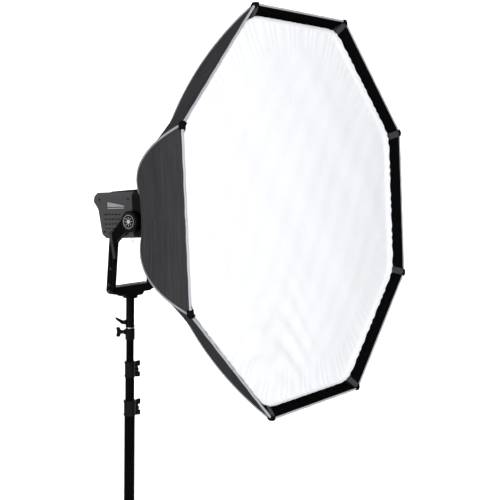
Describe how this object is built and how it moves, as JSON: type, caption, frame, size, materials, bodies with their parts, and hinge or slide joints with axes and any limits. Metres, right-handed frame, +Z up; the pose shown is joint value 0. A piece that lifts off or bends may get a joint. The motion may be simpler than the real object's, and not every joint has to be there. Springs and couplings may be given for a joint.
{
  "type": "studio softbox",
  "caption": "Octagonal folding studio softbox on an LED lamp head in a tilting yoke, carried by a telescopic stand with swivelling legs.",
  "frame": {"origin": "middle of the whole object's footprint box, on the floor", "axes": "+Z up; the softbox opens towards -Y, tilted up 4.06 degrees; +X to the right seen from the softbox's front side looking along +Y"},
  "size_m": [1.1086, 0.9776, 2.2529],
  "materials": {
    "stand_black": "satin black powder coat",
    "collar_black": "black anodised casting",
    "knob_black": "moulded, fine grain",
    "bright_steel": "turned steel",
    "lever_grey": "grey anodised",
    "yoke_black": "black powder coat",
    "housing_black": "textured black",
    "housing_grey": "dark grey powder coat",
    "cap_grey": "moulded, satin",
    "mount_metal": "machined, satin",
    "glass": "clear, coated",
    "board": "solder mask and phosphor",
    "heat_sink": "bare extruded",
    "rod_grey": "pultruded glass fibre",
    "cover_cloth": "coated nylon oxford weave",
    "diffuser_cloth": "white translucent ripstop"
  },
  "bodies": {
    "stand": {"lower_tube": "stand_black", "lower_collar": "collar_black", "fixed_leg": "stand_black"},
    "left_leg": {"left_leg": "stand_black"},
    "right_leg": {"right_leg": "stand_black"},
    "middle_riser": {"middle_tube": "stand_black", "middle_collar": "collar_black"},
    "top_riser": {"top_tube": "stand_black", "top_collar": "collar_black", "spigot": "bright_steel"},
    "lower_knob": {"lower_knob": "knob_black"},
    "middle_knob": {"middle_knob": "knob_black"},
    "top_knob": {"top_knob": "knob_black"},
    "yoke": {"receiver": "yoke_black", "yoke_base": "yoke_black", "left_arm": "yoke_black", "right_arm": "yoke_black", "pivot_caps": "cap_grey"},
    "receiver_lever": {"receiver_lever": "knob_black"},
    "tilt_lever": {"tilt_lever": "lever_grey"},
    "lamp": {"front_housing": "housing_black", "lamp_shell": "housing_grey", "rear_grille": "housing_black", "mount_ring": "mount_metal", "tilt_trunnions": "mount_metal", "glass_cover": "glass", "circuit_boards": "board", "heat_sink": "heat_sink", "fan_frame": "housing_black", "power_inlet": "housing_black"},
    "fan": {"fan_rotor": "knob_black"},
    "release": {"release_slider": "mount_metal"},
    "softbox": {"speed_ring": "mount_metal", "bayonet_collar": "mount_metal", "hinge_pins": "bright_steel", "rear_cuff": "cover_cloth"},
    "rod_1": {"rod_1": "rod_grey", "side_panel_1": "cover_cloth"},
    "diffuser_1": {"diffuser_1": "diffuser_cloth"},
    "rod_2": {"rod_2": "rod_grey", "side_panel_2": "cover_cloth"},
    "diffuser_2": {"diffuser_2": "diffuser_cloth"},
    "rod_3": {"rod_3": "rod_grey", "side_panel_3": "cover_cloth"},
    "diffuser_3": {"diffuser_3": "diffuser_cloth"},
    "rod_4": {"rod_4": "rod_grey", "side_panel_4": "cover_cloth"},
    "diffuser_4": {"diffuser_4": "diffuser_cloth"},
    "rod_5": {"rod_5": "rod_grey", "side_panel_5": "cover_cloth"},
    "diffuser_5": {"diffuser_5": "diffuser_cloth"},
    "rod_6": {"rod_6": "rod_grey", "side_panel_6": "cover_cloth"},
    "diffuser_6": {"diffuser_6": "diffuser_cloth"},
    "rod_7": {"rod_7": "rod_grey", "side_panel_7": "cover_cloth"},
    "diffuser_7": {"diffuser_7": "diffuser_cloth"},
    "rod_8": {"rod_8": "rod_grey", "side_panel_8": "cover_cloth"},
    "diffuser_8": {"diffuser_8": "diffuser_cloth"}
  },
  "joints": [
    {"name": "left_leg_swing", "type": "hinge", "parent": "stand", "child": "left_leg", "pos_m": [0, 0.23541, 0], "axis": [0, 0, 1], "range_deg": [0, 112]},
    {"name": "right_leg_swing", "type": "hinge", "parent": "stand", "child": "right_leg", "pos_m": [0, 0.23541, 0], "axis": [0, 0, 1], "range_deg": [-112, 0]},
    {"name": "middle_riser_slide", "type": "slide", "parent": "stand", "child": "middle_riser", "axis": [0, 0, 1], "range_m": [-0.07, 0.62]},
    {"name": "top_riser_slide", "type": "slide", "parent": "middle_riser", "child": "top_riser", "axis": [0, 0, 1], "range_m": [-0.07, 0.6]},
    {"name": "lower_knob_turn", "type": "hinge", "parent": "stand", "child": "lower_knob", "pos_m": [0, 0.23541, 1.011], "axis": [1, 0, 0], "range_deg": [-180, 180]},
    {"name": "middle_knob_turn", "type": "hinge", "parent": "middle_riser", "child": "middle_knob", "pos_m": [0, 0.23541, 1.14], "axis": [1, 0, 0], "range_deg": [-180, 180]},
    {"name": "top_knob_turn", "type": "hinge", "parent": "top_riser", "child": "top_knob", "pos_m": [0, 0.23541, 1.268], "axis": [-0.7071, 0.7071, 0], "range_deg": [-180, 180]},
    {"name": "yoke_pan", "type": "hinge", "parent": "top_riser", "child": "yoke", "pos_m": [0, 0.23541, 1.4], "axis": [0, 0, 1], "continuous": true},
    {"name": "receiver_lever_turn", "type": "hinge", "parent": "yoke", "child": "receiver_lever", "pos_m": [0, 0.23541, 1.2995], "axis": [-0.7071, 0.7071, 0], "range_deg": [-90, 90]},
    {"name": "lamp_tilt", "type": "hinge", "parent": "yoke", "child": "lamp", "pos_m": [0, 0.14749, 1.63757], "axis": [1, 0, 0], "range_deg": [-75, 40]},
    {"name": "tilt_lever_swing", "type": "hinge", "parent": "yoke", "child": "tilt_lever", "pos_m": [0, 0.22341, 1.596], "axis": [1, 0, 0], "range_deg": [0, 80]},
    {"name": "fan_spin", "type": "hinge", "parent": "lamp", "child": "fan", "pos_m": [0, 0.25229, 1.64517], "axis": [0, 0.9975, -0.0708], "continuous": true},
    {"name": "release_slide", "type": "slide", "parent": "lamp", "child": "release", "axis": [0, 0.9975, -0.0708], "range_m": [0, 0.006], "stiffness_N_per_m": 400},
    {"name": "softbox_twist", "type": "hinge", "parent": "lamp", "child": "softbox", "pos_m": [0, 0.11898, 1.65964], "axis": [0, 0.9975, -0.0708], "range_deg": [0, 40]},
    {"name": "rod_fold_1", "type": "hinge", "parent": "softbox", "child": "rod_1", "pos_m": [0.0868, 0.0927, 1.69755], "axis": [0.3827, -0.0654, -0.9216], "range_deg": [0, 40], "deforming": ["side_panel_1"]},
    {"name": "diffuser_fold_1", "type": "hinge", "parent": "rod_1", "child": "diffuser_1", "pos_m": [0.51553, -0.39198, 1.90999], "axis": [0.3827, -0.0654, -0.9216], "range_deg": [0, 47], "deforming": ["diffuser_1"]},
    {"name": "rod_fold_2", "type": "hinge", "parent": "softbox", "child": "rod_2", "pos_m": [0.03596, 0.0963, 1.74828], "axis": [0.9239, -0.0271, -0.3817], "range_deg": [0, 40], "deforming": ["side_panel_2"]},
    {"name": "diffuser_fold_2", "type": "hinge", "parent": "rod_2", "child": "diffuser_2", "pos_m": [0.21354, -0.3706, 2.21122], "axis": [0.9239, -0.0271, -0.3817], "range_deg": [0, 47], "deforming": ["diffuser_2"]},
    {"name": "rod_fold_3", "type": "hinge", "parent": "softbox", "child": "rod_3", "pos_m": [-0.03596, 0.0963, 1.74828], "axis": [0.9239, 0.0271, 0.3817], "range_deg": [0, 40], "deforming": ["side_panel_3"]},
    {"name": "diffuser_fold_3", "type": "hinge", "parent": "rod_3", "child": "diffuser_3", "pos_m": [-0.21354, -0.3706, 2.21122], "axis": [0.9239, 0.0271, 0.3817], "range_deg": [0, 47], "deforming": ["diffuser_3"]},
    {"name": "rod_fold_4", "type": "hinge", "parent": "softbox", "child": "rod_4", "pos_m": [-0.0868, 0.0927, 1.69755], "axis": [0.3827, 0.0654, 0.9216], "range_deg": [0, 40], "deforming": ["side_panel_4"]},
    {"name": "diffuser_fold_4", "type": "hinge", "parent": "rod_4", "child": "diffuser_4", "pos_m": [-0.51553, -0.39198, 1.90999], "axis": [0.3827, 0.0654, 0.9216], "range_deg": [0, 47], "deforming": ["diffuser_4"]},
    {"name": "rod_fold_5", "type": "hinge", "parent": "softbox", "child": "rod_5", "pos_m": [-0.0868, 0.08761, 1.62583], "axis": [-0.3827, 0.0654, 0.9216], "range_deg": [0, 40], "deforming": ["side_panel_5"]},
    {"name": "diffuser_fold_5", "type": "hinge", "parent": "rod_5", "child": "diffuser_5", "pos_m": [-0.51553, -0.42221, 1.48398], "axis": [-0.3827, 0.0654, 0.9216], "range_deg": [0, 47], "deforming": ["diffuser_5"]},
    {"name": "rod_fold_6", "type": "hinge", "parent": "softbox", "child": "rod_6", "pos_m": [-0.03596, 0.08401, 1.5751], "axis": [-0.9239, 0.0271, 0.3817], "range_deg": [0, 40], "deforming": ["side_panel_6"]},
    {"name": "diffuser_fold_6", "type": "hinge", "parent": "rod_6", "child": "diffuser_6", "pos_m": [-0.21354, -0.4436, 1.18275], "axis": [-0.9239, 0.0271, 0.3817], "range_deg": [0, 47], "deforming": ["diffuser_6"]},
    {"name": "rod_fold_7", "type": "hinge", "parent": "softbox", "child": "rod_7", "pos_m": [0.03596, 0.08401, 1.5751], "axis": [-0.9239, -0.0271, -0.3817], "range_deg": [0, 40], "deforming": ["side_panel_7"]},
    {"name": "diffuser_fold_7", "type": "hinge", "parent": "rod_7", "child": "diffuser_7", "pos_m": [0.21354, -0.4436, 1.18275], "axis": [-0.9239, -0.0271, -0.3817], "range_deg": [0, 47], "deforming": ["diffuser_7"]},
    {"name": "rod_fold_8", "type": "hinge", "parent": "softbox", "child": "rod_8", "pos_m": [0.0868, 0.08761, 1.62583], "axis": [-0.3827, -0.0654, -0.9216], "range_deg": [0, 40], "deforming": ["side_panel_8"]},
    {"name": "diffuser_fold_8", "type": "hinge", "parent": "rod_8", "child": "diffuser_8", "pos_m": [0.51553, -0.42221, 1.48398], "axis": [-0.3827, -0.0654, -0.9216], "range_deg": [0, 47], "deforming": ["diffuser_8"]}
  ],
  "couplings": [
    {"joint": "diffuser_fold_1", "follows": "rod_fold_1", "ratio": 1.15},
    {"joint": "rod_fold_2", "follows": "rod_fold_1", "ratio": 1},
    {"joint": "diffuser_fold_2", "follows": "rod_fold_1", "ratio": 1.15},
    {"joint": "rod_fold_3", "follows": "rod_fold_1", "ratio": 1},
    {"joint": "diffuser_fold_3", "follows": "rod_fold_1", "ratio": 1.15},
    {"joint": "rod_fold_4", "follows": "rod_fold_1", "ratio": 1},
    {"joint": "diffuser_fold_4", "follows": "rod_fold_1", "ratio": 1.15},
    {"joint": "rod_fold_5", "follows": "rod_fold_1", "ratio": 1},
    {"joint": "diffuser_fold_5", "follows": "rod_fold_1", "ratio": 1.15},
    {"joint": "rod_fold_6", "follows": "rod_fold_1", "ratio": 1},
    {"joint": "diffuser_fold_6", "follows": "rod_fold_1", "ratio": 1.15},
    {"joint": "rod_fold_7", "follows": "rod_fold_1", "ratio": 1},
    {"joint": "diffuser_fold_7", "follows": "rod_fold_1", "ratio": 1.15},
    {"joint": "rod_fold_8", "follows": "rod_fold_1", "ratio": 1},
    {"joint": "diffuser_fold_8", "follows": "rod_fold_1", "ratio": 1.15}
  ]
}
